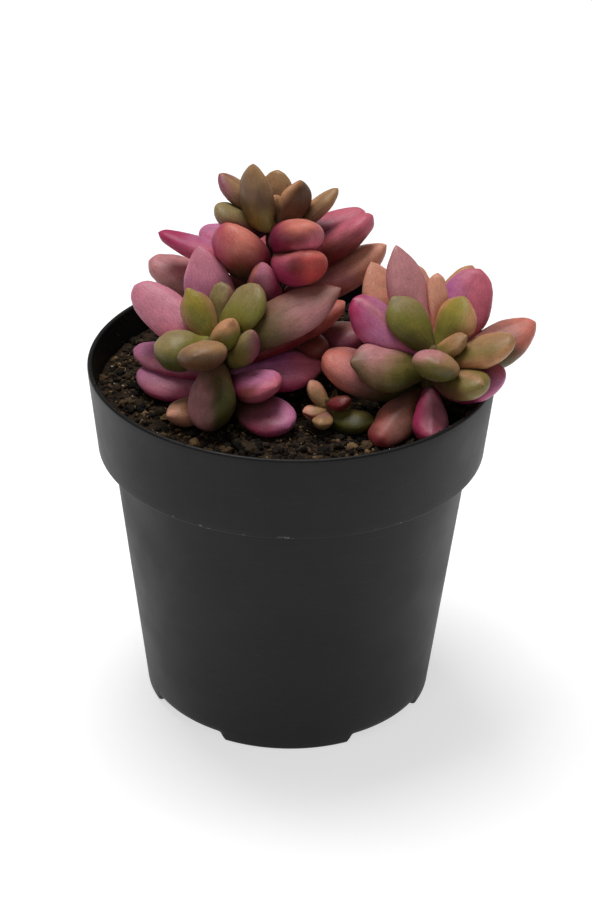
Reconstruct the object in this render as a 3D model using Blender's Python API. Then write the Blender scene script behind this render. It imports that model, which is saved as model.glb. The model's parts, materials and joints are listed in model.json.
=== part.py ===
"""A succulent with three leafy shoots and one small offset, growing in a round nursery pot.

Run with: blender --background --python part.py
The origin is the centre of the pot's foot circle, +Z is up, and the front of the plant faces -Y.
Lengths in the tables are millimetres, angles are degrees, and a heading of 0 points along +X and 90 along +Y.
"""

import math

import bmesh
import bpy
from mathutils import Matrix, Vector, noise
from mathutils.bvhtree import BVHTree

MM = 0.001

# Where the pot's axis stands: the leaves reach further to the right than to the left of it.
POT_X = -4.1
POT_Y = 0.0

# Pot: a thin-walled round pot with a deep collar and four curved feet.
POT_HEIGHT = 95.5
RIM_RADIUS = 52.5
COLLAR_HEIGHT = 23.5
COLLAR_FOOT_RADIUS = 50.15
BODY_TOP_RADIUS = 46.4
BODY_FOOT_RADIUS = 38.2
FOOT_HEIGHT = 2.7
FOOT_DEPTH = 3.6
FOOT_SPAN = 50.0
FOOT_SLOPE = 2.5
FOOT_COUNT = 4
WALL = 1.3
FLOOR = 1.2
DRAIN_RADIUS = 4.0
DRAIN_CIRCLE = 27.0
DRAIN_COUNT = 4

# Soil: fills the pot to a little below the rim.
SOIL_LEVEL = 86.5
SOIL_BUMP = 0.8
SOIL_SIDES = 36
GAP = 0.3

# Leaves: a closed loft of rings between a point at the base and a point at the tip.
LEAF_SIDES = 12
LEAF_STATIONS = (0.05, 0.18, 0.36, 0.56, 0.75, 0.89, 0.97)
LEAF_WIDTHS = (0.30, 0.50, 0.82, 1.00, 0.92, 0.60, 0.24)
LEAF_DEPTHS = (0.40, 0.64, 0.92, 1.00, 0.88, 0.58, 0.26)
UPPER_SHARE = 0.40
LEAF_CLEARANCE = 0.7
LEAF_FLOOR = SOIL_LEVEL + SOIL_BUMP + 0.4
PRESS_ROUNDS = 60
SHARP_ROUNDS = 20
MAX_PUSH = 0.6

# Stems: root point in the soil's surface, growing tip, and radii there.
STEM_DEPTH = 7.0
STEMS = {
    "rear": {"root": (-4, 12, 86.5), "tip": (-6, 14, 133), "radii": (3.0, 1.5)},
    "left": {"root": (-14, -9, 86.5), "tip": (-20.5, -13, 108.5), "radii": (2.8, 1.4)},
    "right": {"root": (34, -8, 86.5), "tip": (35.5, -16, 108.5), "radii": (2.8, 1.4)},
    "offset": {"root": (9, -19, 86.5), "tip": (9, -20, 95.5), "radii": (1.4, 0.8)},
}

# One row for each leaf: height of its base up the stem, heading, pitch, length, width, thickness,
# its roll about its own length, and its tint.
LEAVES = {
    "rear": [
        (43, 160, 36, 15, 7.5, 4, -10, "olive"),
        (38.5, 187, 31, 14.5, 9.5, 5.5, -15, "olive"),
        (37, -148, 79, 21.5, 12, 4.5, 0, "olive"),
        (39, -24, 70, 15.5, 11.5, 5, -20, "olive"),
        (38, 10, 38, 18, 7.5, 4.5, -5, "olive"),
        (34, 24, 14, 24, 9, 6.5, 15, "pink"),
        (28, 2, 34, 27, 11, 7.5, -10, "magenta"),
        (36.5, -60, 31, 21, 11.5, 9.5, -20, "coral"),
        (31, -62, 25, 23, 12, 9.5, -20, "coral"),
        (27, -145, 54, 21, 15.5, 10.5, 10, "coral"),
        (29, 173, 15, 28, 8.5, 5.5, 0, "pink"),
        (30, 145, 8, 21, 9.5, 7, -25, "magenta"),
        (18, 168, 16, 32, 12.5, 8.5, -15, "coral"),
        (20, 3, 30, 29, 12.5, 9, 0, "coral"),
        (15, -108, 64, 23, 9, 7, -20, "pink"),
        (14, -60, 5, 22, 7.5, 7, 10, "coral"),
        (8, -30, 20, 24, 12, 10, 10, "coral"),
        (26, 80, 30, 24, 12, 7, 0, "pink"),
        (20, 115, 22, 26, 12, 8, 0, "coral"),
    ],
    "left": [
        (9, 118, 60, 32, 13.5, 6, 0, "violet"),
        (17, 145, 25, 27, 11, 6.5, -20, "pink"),
        (20, 137, 54, 14, 8.5, 5, 0, "olive"),
        (14, 96, 62, 19, 8.5, 4.5, 0, "olive"),
        (20, 32, 50, 17, 13, 5.5, 5, "olive"),
        (21, -168, 0, 13, 12, 10, 5, "olive"),
        (21, -105, 18, 15.5, 12, 7, 0, "tan"),
        (14, -42, 56, 14, 6.5, 6, 0, "olive"),
        (19, 11, 25, 32, 13, 7, 20, "olive"),
        (13, 24, 20, 33, 9.5, 6.5, -20, "pink"),
        (11, 4, 3, 22, 13.5, 6.5, 10, "violet"),
        (9.5, -46, 16, 16, 12, 6, -5, "violet"),
        (5, -50, -2, 20, 13.5, 6, -5, "pink"),
        (16, -98, -32, 18.5, 12, 10, 0, "olive"),
        (5, -137, 4, 18, 9, 7, 0, "tan"),
        (11, 152, 1, 24, 9, 4, -10, "violet"),
        (5, 163, 4, 22.5, 13.5, 5.5, 0, "violet"),
    ],
    "right": [
        (21, 150, 46, 15, 11, 6, -10, "olive"),
        (19, 40, 56, 15, 12.5, 5.5, -20, "olive"),
        (21, -88, 16, 12, 12, 7, -12, "tan"),
        (18, -15, 25, 20, 10.5, 5.5, -5, "olive"),
        (12, 15, 25, 27, 12.5, 9, -10, "pink"),
        (15.5, -157, 15, 20, 13.5, 7.5, -10, "olive"),
        (14, -52, 15, 18, 11, 6.5, 0, "olive"),
        (9.5, -27, 22, 19, 12, 5, 10, "magenta"),
        (9, -90, -10, 19, 9, 7, -10, "magenta"),
        (8, -124, -14, 22, 10.5, 10, 0, "coral"),
        (7, -170, 23, 26.5, 13.5, 9.5, 5, "coral"),
        (14, 172, 44, 25, 12.5, 7.5, -5, "magenta"),
        (6, 130, 52, 33, 13.5, 6.5, 5, "coral"),
        (17, 118, 51, 28.5, 10.5, 6.5, 0, "pink"),
        (9, 102, 52, 29, 9.5, 5, 0, "coral"),
        (15, 84, 59, 22, 6, 4.5, 5, "coral"),
        (12, 53, 48, 28, 14.5, 6, 5, "violet"),
        (8, 65, 41, 32, 13, 6, 5, "coral"),
    ],
}
LEAF_CURL = 10.0

# The youngest leaves are still one piece with the end of their stem.
YOUNG_LEAVES = {
    "rear": [(40, 80, 63, 14, 8, 4, 0), (41, -72, 72, 9, 4.5, 3.5, 0)],
    "left": [(20, -40, 58, 10, 8, 6, -15)],
    "right": [(20, -20, 40, 10, 6.5, 4, -10)],
    "offset": [
        (6, 150, 50, 7.5, 4.5, 3, 0),
        (7, -20, 20, 6, 4.5, 3, 0),
        (5, -160, 5, 6, 4.5, 3, 0),
        (4, -105, 5, 7, 4.5, 3, 0),
        (5, 20, 15, 6, 4, 3, 0),
        (3, -22, 6, 12, 7.5, 5, 0),
    ],
}

# Base colour (linear), roughness.
TINTS = {
    "olive": ((0.13, 0.14, 0.05), 0.45),
    "tan": ((0.28, 0.17, 0.08), 0.45),
    "coral": ((0.42, 0.12, 0.08), 0.45),
    "pink": ((0.40, 0.11, 0.14), 0.45),
    "magenta": ((0.38, 0.04, 0.16), 0.45),
    "violet": ((0.35, 0.08, 0.26), 0.45),
    "stem": ((0.16, 0.14, 0.06), 0.60),
    "soil": ((0.025, 0.018, 0.012), 0.95),
    "pot": ((0.020, 0.019, 0.020), 0.50),
}


def clear_scene():
    for thing in list(bpy.data.objects):
        bpy.data.objects.remove(thing)


def tint_material(tint):
    """The Principled material of one tint, made once."""
    found = bpy.data.materials.get(tint)
    if found:
        return found
    colour, roughness = TINTS[tint]
    material = bpy.data.materials.new(tint)
    material.use_nodes = True
    shader = material.node_tree.nodes["Principled BSDF"]
    shader.inputs["Base Color"].default_value = (*colour, 1.0)
    shader.inputs["Roughness"].default_value = roughness
    shader.inputs["Metallic"].default_value = 0.0
    return material


def add_object(name, points, faces, tint, origin=Vector()):
    """A mesh object from points in millimetres, with its origin at one of them or at the pot's centre."""
    mesh = bpy.data.meshes.new(name)
    mesh.from_pydata([(p - origin) * MM for p in points], [], faces)
    mesh.shade_smooth()
    mesh.set_sharp_from_angle(angle=math.radians(35))
    mesh.materials.append(tint_material(tint))
    made = bpy.data.objects.new(name, mesh)
    made.location = origin * MM
    bpy.context.scene.collection.objects.link(made)
    return made


def loft_faces(sides, rings):
    """Triangles of a loft: point 0 is the base pole, the rings follow, and the last point is the tip pole."""
    faces = []
    last = 1 + sides * rings
    for j in range(sides):
        k = (j + 1) % sides
        faces.append((0, 1 + k, 1 + j))
        faces.append((last, last - sides + j, last - sides + k))
        for i in range(rings - 1):
            a, b = 1 + i * sides + j, 1 + i * sides + k
            c, d = a + sides, b + sides
            faces += [(a, b, d), (a, d, c)]
    return faces


def lathe(name, profile, angles, tint):
    """Turns (radius, z) points about the Z axis, from the axis at the bottom, outside, to the axis at the top."""
    points = [Vector((0, 0, profile[0][1]))]
    for radius, z in profile[1:-1]:
        for angle in angles:
            turn = math.radians(angle)
            points.append(Vector((radius * math.cos(turn), radius * math.sin(turn), z)))
    points.append(Vector((0, 0, profile[-1][1])))
    return add_object(name, points, loft_faces(len(angles), len(profile) - 2), tint)


def combine(target, other, operation):
    """Applies an exact Boolean of two objects and removes the second."""
    modifier = target.modifiers.new(operation, "BOOLEAN")
    modifier.operation = operation
    modifier.object = other
    bpy.context.view_layer.update()
    graph = bpy.context.evaluated_depsgraph_get()
    mesh = bpy.data.meshes.new_from_object(target.evaluated_get(graph))
    target.modifiers.clear()
    target.data = mesh
    bpy.data.objects.remove(other)


def collar_radius(z):
    """Outer radius of the collar at a height."""
    share = (z - POT_HEIGHT + COLLAR_HEIGHT) / COLLAR_HEIGHT
    return COLLAR_FOOT_RADIUS + (RIM_RADIUS - COLLAR_FOOT_RADIUS) * share


def body_radius(z):
    """Outer radius of the tapered body at a height."""
    share = (z - FOOT_HEIGHT) / (POT_HEIGHT - COLLAR_HEIGHT - FOOT_HEIGHT)
    return BODY_FOOT_RADIUS + (BODY_TOP_RADIUS - BODY_FOOT_RADIUS) * share


def make_drain(number):
    """A cutter for one drain hole in the floor."""
    angle = math.radians(-45 + number * 360 / DRAIN_COUNT)
    bm = bmesh.new()
    bmesh.ops.create_cone(
        bm, cap_ends=True, segments=12, depth=6 * FLOOR * MM, radius1=DRAIN_RADIUS * MM, radius2=DRAIN_RADIUS * MM
    )
    centre = Vector((DRAIN_CIRCLE * math.cos(angle), DRAIN_CIRCLE * math.sin(angle), FOOT_HEIGHT + FLOOR / 2))
    bmesh.ops.translate(bm, verts=bm.verts, vec=centre * MM)
    mesh = bpy.data.meshes.new("drain")
    bm.to_mesh(mesh)
    bm.free()
    cutter = bpy.data.objects.new("drain", mesh)
    bpy.context.scene.collection.objects.link(cutter)
    return cutter


def pot_angles():
    """Angles round the pot: close pairs of them mark the ends of the feet."""
    half, pitch = FOOT_SPAN / 2, 360 / FOOT_COUNT
    angles = []
    for number in range(FOOT_COUNT):
        middle = -90 + number * pitch
        angles += [middle - half + FOOT_SPAN * i / 6 for i in range(7)]
        gap = pitch - FOOT_SPAN - 2 * FOOT_SLOPE
        angles += [middle + half + FOOT_SLOPE + gap * i / 4 for i in range(5)]
    return angles


def make_pot():
    ledge = POT_HEIGHT - COLLAR_HEIGHT
    inside_floor = FOOT_HEIGHT + FLOOR
    profile = [
        (0, FOOT_HEIGHT + 0.2),
        (BODY_FOOT_RADIUS - FOOT_DEPTH - 0.4, FOOT_HEIGHT + 0.2),
        (BODY_FOOT_RADIUS - FOOT_DEPTH, 0.0),
        (BODY_FOOT_RADIUS - 1.1, 0.0),
        (BODY_FOOT_RADIUS - 0.2, 0.9),
        (body_radius(FOOT_HEIGHT + 0.8), FOOT_HEIGHT + 0.8),
        (body_radius(ledge - 0.3), ledge - 0.3),
        (BODY_TOP_RADIUS + 0.3, ledge),
        (COLLAR_FOOT_RADIUS - 0.6, ledge),
        (COLLAR_FOOT_RADIUS, ledge + 0.6),
        (collar_radius(POT_HEIGHT - 0.6), POT_HEIGHT - 0.6),
        (RIM_RADIUS - 0.3, POT_HEIGHT - 0.15),
        (RIM_RADIUS - 0.7, POT_HEIGHT),
        (RIM_RADIUS - WALL - 0.1, POT_HEIGHT - 0.4),
        (COLLAR_FOOT_RADIUS - WALL, ledge + 1.9),
        (COLLAR_FOOT_RADIUS - WALL - 0.7, ledge + WALL),
        (BODY_TOP_RADIUS - WALL, ledge + WALL - 0.2),
        (body_radius(inside_floor + 1.0) - WALL, inside_floor + 1.0),
        (BODY_FOOT_RADIUS - WALL - 0.8, inside_floor),
        (0, inside_floor),
    ]
    pot = lathe("pot", profile, pot_angles(), "pot")
    half = FOOT_SPAN / 2 + FOOT_SLOPE / 2
    for vertex in pot.data.vertices:
        turn = math.degrees(math.atan2(vertex.co.y, vertex.co.x)) + 90
        off_foot = abs((turn + 180 / FOOT_COUNT) % (360 / FOOT_COUNT) - 180 / FOOT_COUNT)
        if vertex.co.z < FOOT_HEIGHT * MM and off_foot > half:
            vertex.co.z = vertex.co.z * 0.2 + FOOT_HEIGHT * 0.95 * MM
    for number in range(DRAIN_COUNT):
        combine(pot, make_drain(number), "DIFFERENCE")
    return pot


def soil_height(x, y):
    """The soil's surface: gently uneven."""
    return SOIL_LEVEL + SOIL_BUMP * noise.noise(Vector((x * 0.13, y * 0.13, 3.7)))


def make_soil():
    ledge = POT_HEIGHT - COLLAR_HEIGHT
    inside_floor = FOOT_HEIGHT + FLOOR
    edge = collar_radius(SOIL_LEVEL) - WALL - GAP
    profile = [
        (0, inside_floor + GAP),
        (BODY_FOOT_RADIUS - WALL - 1.2, inside_floor + GAP),
        (body_radius(inside_floor + 1.2) - WALL - GAP, inside_floor + 1.2 + GAP),
        (BODY_TOP_RADIUS - WALL - GAP, ledge + WALL + GAP),
        (COLLAR_FOOT_RADIUS - WALL - 0.9, ledge + WALL + GAP),
        (COLLAR_FOOT_RADIUS - WALL - GAP, ledge + 2.0 + GAP),
        (edge, SOIL_LEVEL),
        (edge - 8, SOIL_LEVEL),
        (edge - 17, SOIL_LEVEL),
        (edge - 27, SOIL_LEVEL),
        (edge - 38, SOIL_LEVEL),
        (0, SOIL_LEVEL),
    ]
    soil = lathe("soil", profile, [360 * j / SOIL_SIDES for j in range(SOIL_SIDES)], "soil")
    for vertex in soil.data.vertices:
        if vertex.co.z > (SOIL_LEVEL - 0.1) * MM:
            vertex.co.z = soil_height(vertex.co.x / MM, vertex.co.y / MM) * MM
    for stem in STEMS.values():
        cutter = make_stem("socket", stem, grow=GAP + 0.1, shorten=0.5)
        combine(soil, cutter, "DIFFERENCE")
    return soil


def stem_axis(stem):
    root, tip = Vector(stem["root"]), Vector(stem["tip"])
    return root, (tip - root).normalized(), (tip - root).length


def make_stem(name, stem, grow=0.0, shorten=0.0):
    """A tapered stem with rounded ends, from inside the soil to the growing tip."""
    root, along, length = stem_axis(stem)
    low, high = stem["radii"]
    side = along.orthogonal().normalized()
    other = along.cross(side)
    bottom = -STEM_DEPTH - shorten
    rows = [(bottom + 0.6, low * 0.7), (bottom + 1.6, low), (0, low), (length * 0.5, (low + high) / 2)]
    rows += [(length - 1.2, high), (length - 0.3, high * 0.6)]
    points = [root + along * bottom]
    for distance, radius in rows:
        for j in range(10):
            angle = 2 * math.pi * j / 10
            ray = side * math.cos(angle) + other * math.sin(angle)
            points.append(root + along * distance + ray * (radius + grow))
    points.append(root + along * length)
    return add_object(name, points, loft_faces(10, len(rows)), "stem")


def leaf_points(stem, row, stations=range(len(LEAF_STATIONS)), sides=LEAF_SIDES, gap=GAP):
    """The loft's points of one leaf: base pole, rings, tip pole."""
    at, heading, pitch, length, width, depth, roll = row[:7]
    root, along, stem_length = stem_axis(stem)
    low, high = stem["radii"]
    h, p = math.radians(heading), math.radians(pitch)
    ahead = Vector((math.cos(h) * math.cos(p), math.sin(h) * math.cos(p), math.sin(p)))
    upper = (along - ahead * along.dot(ahead)).normalized()
    upper = Matrix.Rotation(math.radians(roll), 3, ahead) @ upper
    across = upper.cross(ahead)
    sideways = (ahead - along * ahead.dot(along)).normalized()
    stem_radius = low + (high - low) * at / stem_length
    base = root + along * at + sideways * (stem_radius + gap)
    half = math.radians(LEAF_CURL) / 2

    def middle(t):
        """A point on the leaf's centre line, an arc that bends towards its upper side."""
        rise = (math.cos(half * (2 * t - 1)) - math.cos(half)) / (2 * math.sin(half))
        run = (math.sin(half * (2 * t - 1)) + math.sin(half)) / (2 * math.sin(half))
        return base + ahead * length * run - upper * length * rise

    points = [middle(0.0)]
    for i in stations:
        t, w, d = LEAF_STATIONS[i], LEAF_WIDTHS[i], LEAF_DEPTHS[i]
        lean = half * (2 * t - 1)
        normal = upper * math.cos(lean) - ahead * math.sin(lean)
        for j in range(sides):
            angle = 2 * math.pi * j / sides
            share = UPPER_SHARE if math.sin(angle) > 0 else 1 - UPPER_SHARE
            offset = across * (math.cos(angle) * width * w / 2) + normal * (math.sin(angle) * depth * d * share)
            points.append(middle(t) + offset)
    points.append(middle(1.0))
    return points


def bounds_of(points):
    return [(min(p[i] for p in points), max(p[i] for p in points)) for i in range(3)]


def boxes_meet(a, b, margin):
    return all(a[i][0] - margin < b[i][1] and b[i][0] - margin < a[i][1] for i in range(3))


def is_inside(point, tree):
    """Counts how often a ray from the point crosses a closed surface."""
    ray = Vector((0.31, 0.22, 0.925)).normalized()
    start, hits = point, 0
    while hits < 20:
        location = tree.ray_cast(start, ray)[0]
        if location is None:
            break
        hits += 1
        start = location + ray * 1e-4
    return hits % 2 == 1


def push_out(point, tree, box, clearance):
    """How far, and which way, a point has to move to stand clear of a closed surface."""
    in_box = all(box[i][0] < point[i] < box[i][1] for i in range(3))
    inside = in_box and is_inside(point, tree)
    location, _, _, distance = tree.find_nearest(point, 12.0 if inside else clearance)
    if location is None or distance < 1e-6:
        return None
    if inside:
        return (location - point) * ((distance + clearance) / distance)
    return (point - location) * ((clearance - distance) / distance)


def ease(shifts):
    """Spreads the shifts of a leaf's points over each ring, so that the leaf bends before it dents."""
    eased = [shifts[0]]
    for first in range(1, len(shifts) - 1, LEAF_SIDES):
        ring = shifts[first : first + LEAF_SIDES]
        mean = sum(ring, Vector()) / LEAF_SIDES
        for j in range(LEAF_SIDES):
            around = (ring[j - 1] + ring[(j + 1) % LEAF_SIDES]) / 2
            eased.append(ring[j] * 0.35 + around * 0.25 + mean * 0.8)
    eased.append(shifts[-1])
    return eased


def press_apart(leaves, fixed):
    """Flattens leaves where they press on each other, on a stem or on the pot, until all stand clear."""
    faces = loft_faces(LEAF_SIDES, len(LEAF_STATIONS))
    names = sorted(leaves)
    fixed_trees = [(BVHTree.FromPolygons(points, polygons), bounds_of(points)) for points, polygons in fixed]
    for turn in range(PRESS_ROUNDS):
        trees = {n: BVHTree.FromPolygons(leaves[n], faces) for n in names}
        boxes = {n: bounds_of(leaves[n]) for n in names}
        moved = {}
        for name in names:
            others = [(trees[n], boxes[n], 0.5) for n in names if n != name and boxes_meet(boxes[name], boxes[n], 1.0)]
            others += [(tree, box, 1.0) for tree, box in fixed_trees if boxes_meet(boxes[name], box, 1.0)]
            shifts = []
            for point in leaves[name]:
                shift = Vector()
                for tree, box, share in others:
                    push = push_out(point, tree, box, LEAF_CLEARANCE)
                    if push is not None:
                        shift += push * share
                if shift.length > MAX_PUSH:
                    shift *= MAX_PUSH / shift.length
                shifts.append(shift)
            if turn < PRESS_ROUNDS - SHARP_ROUNDS:
                shifts = ease(shifts)
            moved[name] = [p + s for p, s in zip(leaves[name], shifts)]
            for point in moved[name]:
                if math.hypot(point.x, point.y) < RIM_RADIUS - 1:
                    point.z = max(point.z, LEAF_FLOOR)
        leaves.update(moved)


def mesh_in_mm(made):
    made.data.calc_loop_triangles()
    points = [v.co / MM for v in made.data.vertices]
    return points, [tuple(t.vertices) for t in made.data.loop_triangles]


def make_shoot(name, shoot):
    """A stem together with its youngest leaves, in one piece."""
    stem = STEMS[shoot]
    made = make_stem(name, stem)
    sides, stations = (8, (1, 3, 4, 5)) if shoot == "offset" else (10, (0, 1, 2, 3, 4, 5, 6))
    for row in YOUNG_LEAVES[shoot]:
        points = leaf_points(stem, row, stations, sides, gap=-stem["radii"][1])
        combine(made, add_object("young_leaf", points, loft_faces(sides, len(stations)), "stem"), "UNION")
    return made


def stand_on_origin():
    """Parents all pieces to an empty that puts the middle of the whole object's outline over the origin."""
    holder = bpy.data.objects.new("potted_succulent", None)
    holder.location = Vector((POT_X, POT_Y, 0)) * MM
    for piece in list(bpy.context.scene.collection.objects):
        piece.parent = holder
    bpy.context.scene.collection.objects.link(holder)


def main():
    clear_scene()
    pot = make_pot()
    make_soil()
    fixed = [mesh_in_mm(pot)]
    for shoot in STEMS:
        name = "offset_shoot" if shoot == "offset" else f"{shoot}_stem"
        fixed.append(mesh_in_mm(make_shoot(name, shoot)))
    leaves, tints = {}, {}
    for shoot, rows in LEAVES.items():
        for number, row in enumerate(rows, 1):
            name = f"{shoot}_leaf_{number:02d}"
            leaves[name] = leaf_points(STEMS[shoot], row)
            tints[name] = row[7]
    press_apart(leaves, fixed)
    for name, points in leaves.items():
        add_object(name, points, loft_faces(LEAF_SIDES, len(LEAF_STATIONS)), tints[name], origin=points[0])
    stand_on_origin()


main()
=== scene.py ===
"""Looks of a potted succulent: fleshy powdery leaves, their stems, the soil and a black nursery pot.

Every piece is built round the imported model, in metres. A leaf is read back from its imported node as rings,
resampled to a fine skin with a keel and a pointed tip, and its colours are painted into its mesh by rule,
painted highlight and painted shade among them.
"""
import json
import math
import random

import bmesh
import bpy
import numpy as np
from mathutils import Matrix, Vector, noise
from mathutils.bvhtree import BVHTree


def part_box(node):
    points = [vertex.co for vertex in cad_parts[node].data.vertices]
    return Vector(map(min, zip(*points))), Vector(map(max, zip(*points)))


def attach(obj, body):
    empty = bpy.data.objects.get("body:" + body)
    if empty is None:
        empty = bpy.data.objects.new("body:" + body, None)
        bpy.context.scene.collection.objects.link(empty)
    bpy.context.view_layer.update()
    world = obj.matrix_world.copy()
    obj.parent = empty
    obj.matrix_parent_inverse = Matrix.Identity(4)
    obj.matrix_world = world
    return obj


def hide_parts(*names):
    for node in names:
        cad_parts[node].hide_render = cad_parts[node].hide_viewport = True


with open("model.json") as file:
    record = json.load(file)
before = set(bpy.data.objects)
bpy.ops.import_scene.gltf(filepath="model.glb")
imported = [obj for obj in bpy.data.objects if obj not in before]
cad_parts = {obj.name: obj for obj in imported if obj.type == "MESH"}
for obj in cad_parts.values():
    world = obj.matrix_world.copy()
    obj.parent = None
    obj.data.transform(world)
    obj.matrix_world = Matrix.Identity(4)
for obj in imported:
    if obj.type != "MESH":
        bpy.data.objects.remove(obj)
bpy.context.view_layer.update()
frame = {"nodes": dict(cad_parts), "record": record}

MM = 0.001

# Leaves: rays felt round a packed leaf, and the finer rings of the leaf that is shown.
FELT_SIDES = 24
LEAF_SIDES = 56
LEAF_ROWS = 44
RING_WAVES = 4
SHARPEN_FROM = 0.86
SWELL = 0.25 * MM
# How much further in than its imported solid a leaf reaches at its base, so that it grows out of the stem.
ROOT_REACH = 2.0 * MM
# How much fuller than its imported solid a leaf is, by how far along it: at its base and at a blunt tip.
BASE_FULLNESS = ((0, 0.8), (0.05, 0.6), (0.18, 0.38), (0.36, 0.10), (0.5, 0.02), (1, 0))
TIP_FULLNESS = ((0, 0), (0.7, 0.0), (0.8, 0.10), (0.89, 0.28), (0.97, 0.85), (1, 1.3))

# The young leaves are part of the stem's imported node, so the stem's lines and their rows are repeated here.
POT_X = -4.1
STEMS = {
    "rear": {"node": "rear_stem", "root": (-4, 12, 86.5), "tip": (-6, 14, 133), "radii": (3.0, 1.5)},
    "left": {"node": "left_stem", "root": (-14, -9, 86.5), "tip": (-20.5, -13, 108.5), "radii": (2.8, 1.4)},
    "right": {"node": "right_stem", "root": (34, -8, 86.5), "tip": (35.5, -16, 108.5), "radii": (2.8, 1.4)},
    "offset": {"node": "offset_shoot", "root": (9, -19, 86.5), "tip": (9, -20, 95.5), "radii": (1.4, 0.8)},
}
# Height up the stem, heading, pitch, length, width, thickness, roll.
YOUNG_LEAVES = {
    "rear_young_01": ("rear", (40, 80, 63, 14, 8, 4, 0)),
    "rear_young_02": ("rear", (41, -72, 72, 9, 4.5, 3.5, 0)),
    "left_young_01": ("left", (20, -40, 58, 10, 8, 6, -15)),
    "right_young_01": ("right", (20, -20, 40, 10, 6.5, 4, -10)),
    "offset_leaf_01": ("offset", (6, 150, 50, 7.5, 4.5, 3, 0)),
    "offset_leaf_02": ("offset", (7, -20, 20, 6, 4.5, 3, 0)),
    "offset_leaf_03": ("offset", (5, -160, 5, 6, 4.5, 3, 0)),
    "offset_leaf_04": ("offset", (4, -105, 5, 7, 4.5, 3, 0)),
    "offset_leaf_05": ("offset", (5, 20, 15, 6, 4, 3, 0)),
    "offset_leaf_06": ("offset", (3, -22, 6, 12, 7.5, 5, 0)),
}
STATIONS = (0.05, 0.18, 0.36, 0.56, 0.75, 0.89, 0.97)
WIDTHS = (0.30, 0.50, 0.82, 1.00, 0.92, 0.60, 0.24)
DEPTHS = (0.40, 0.64, 0.92, 1.00, 0.88, 0.58, 0.26)
UPPER_SHARE = 0.40
CURL = math.radians(10.0)

# Stems, as shown.
STEM_DEPTH = 7 * MM
STEM_ROWS = 40
STEM_SIDES = 28

# Soil: its level, and the height in millimetres and the frequency of its mounds, clods and crumbs.
SOIL_LEVEL = 86.5 * MM
SOIL_LIFT = 0.3
MOUNDS = (0.8, 0.09)
CLODS = (0.9, 0.24)
CRUMBS = (0.5, 0.75)
BROWNS = [(18, 13, 9), (32, 24, 16), (52, 40, 27), (80, 62, 42), (120, 95, 64)]
BROWN_SHARES = (4, 4, 4, 3.5, 2.0)
FIBRE_BROWNS = [(126, 100, 70), (98, 76, 52), (150, 124, 92), (70, 52, 36)]
GRAIN_WHITE = (206, 202, 194)
CRUMB_COUNT = 3600
RIM_CRUMB_COUNT = 260
FIBRE_COUNT = 900
GRAIN_COUNT = 130
FIBRE_RINGS = 7

# Pot, in millimetres.
POT_HEIGHT = 95.5
RIM_RADIUS = 52.5
COLLAR_HEIGHT = 23.5
COLLAR_FOOT_RADIUS = 50.15
BODY_TOP_RADIUS = 46.4
BODY_FOOT_RADIUS = 38.2
FOOT_HEIGHT = 2.7
FOOT_DEPTH = 3.6
FOOT_SPAN = 50.0
FOOT_SLOPE = 2.5
FOOT_COUNT = 4
WALL = 1.3
FLOOR = 1.2
DRAIN_RADIUS = 4.0
DRAIN_CIRCLE = 27.0
DRAIN_COUNT = 4
GAP = 0.3
POT_SIDES = 360

# Stage: lights (place, size, power), the glow of the paper that the pot stands on, and the camera.
OVERHEAD = ((-0.12, 0.20, 1.15), 0.5, 9.8)
FRONT_FILL = ((-0.5, -1.3, 0.9), 1.0, 1.5)
LIGHT_AIM = (0, 0, 0.1)
WORLD_LIGHT = 0.20
PAPER_GLOW = 0.62
CAMERA_TARGET = (-0.00277, 0.0, 0.06654)
CAMERA_ELEVATION = math.radians(29.7)
CAMERA_DISTANCE = 0.700
CAMERA_ROLL = math.radians(0.97)
CAMERA_LENS = 105.3

# Colours of the plant, as sRGB.
PALETTE = {
    "olive": (124, 108, 54),
    "leaf_green": (120, 114, 46),
    "yellow_green": (150, 132, 46),
    "deep_green": (74, 70, 24),
    "grey_olive": (140, 122, 80),
    "bronze": (118, 88, 62),
    "dark_bronze": (88, 56, 32),
    "tan": (160, 122, 84),
    "orange_tan": (190, 136, 96),
    "peach": (214, 150, 124),
    "coral": (208, 120, 104),
    "bright_coral": (186, 70, 66),
    "salmon": (200, 128, 116),
    "rose": (196, 98, 116),
    "dusty_rose": (186, 124, 126),
    "pink": (200, 124, 142),
    "violet_pink": (190, 114, 150),
    "violet": (172, 92, 152),
    "magenta": (168, 44, 88),
    "deep_magenta": (120, 10, 58),
    "dark_red": (112, 28, 34),
    "brown_red": (116, 54, 46),
    "rosy_brown": (140, 92, 82),
    "mauve": (140, 74, 92),
}

# Which way each painted patch lies on a leaf, in the object's own axes: top patches carry much of the painted
# highlight, bottom patches much of the painted shade.
SIDES = {
    "left": (-1, 0, 0),
    "right": (1, 0, 0),
    "top": (0, 0.5, 0.87),
    "bottom": (0, -0.5, -0.87),
    "top_left": (-0.7, 0.35, 0.62),
    "bottom_left": (-0.7, -0.35, -0.62),
    "bottom_right": (0.7, -0.35, -0.62),
}
PATCH_SOFTNESS = 0.45
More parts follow.
